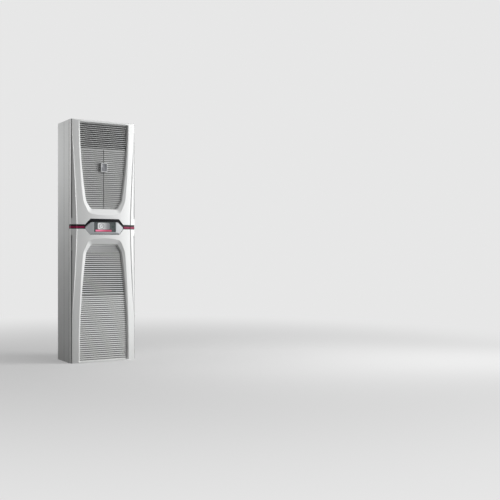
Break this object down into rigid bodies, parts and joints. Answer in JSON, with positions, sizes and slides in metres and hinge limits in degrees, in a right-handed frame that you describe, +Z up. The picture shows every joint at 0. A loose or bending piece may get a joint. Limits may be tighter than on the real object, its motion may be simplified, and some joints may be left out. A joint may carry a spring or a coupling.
{
  "type": "enclosure cooling unit",
  "caption": "Tall narrow enclosure cooling unit: grey steel casing, waisted front covers with louvred grilles in sloping recesses, and a display in a dark band.",
  "frame": {"origin": "middle of the footprint, on the floor under the casing", "axes": "+Z up, front towards -Y, +X to the right seen from the front"},
  "size_m": [0.45, 0.294, 1.6],
  "materials": {
    "casing_paint": "fine textured light grey powder coat",
    "cover_paint": "satin light grey paint",
    "grille_paint": "satin light grey paint",
    "black_trim": "gloss black",
    "red_trim": "gloss crimson",
    "bezel_grey": "satin silver grey",
    "screen_glass": "dark glass over a lit display",
    "zinc_steel": "zinc plated",
    "guard_steel": "plated wire",
    "black_plastic": "moulded black",
    "coil_fins": "finned aluminium"
  },
  "bodies": {
    "root": {"upper_cover": "cover_paint", "lower_cover": "cover_paint", "exhaust_grille": "grille_paint", "upper_blind_grille": "grille_paint", "intake_grille": "grille_paint", "lower_blind_grille": "grille_paint", "band_trim": "black_trim", "left_stripe": "red_trim", "right_stripe": "red_trim", "display_bezel": "bezel_grey", "display_screen": "screen_glass", "base_tray": "casing_paint", "roof_panel": "casing_paint", "lifting_nuts": "zinc_steel", "rear_panel": "casing_paint", "fixing_nuts": "zinc_steel", "rear_inlet_guard": "guard_steel", "rear_outlet_louvres": "casing_paint", "partition_wall": "zinc_steel", "left_front_side": "casing_paint", "left_rear_side": "casing_paint", "right_front_side": "casing_paint", "right_rear_side": "casing_paint", "exhaust_fan_plate": "black_plastic", "exhaust_impeller": "black_plastic", "exhaust_motor": "black_plastic", "inlet_impeller": "black_plastic", "inlet_motor": "black_plastic", "condenser_coil": "coil_fins", "evaporator_coil": "coil_fins"}
  },
  "joints": []
}
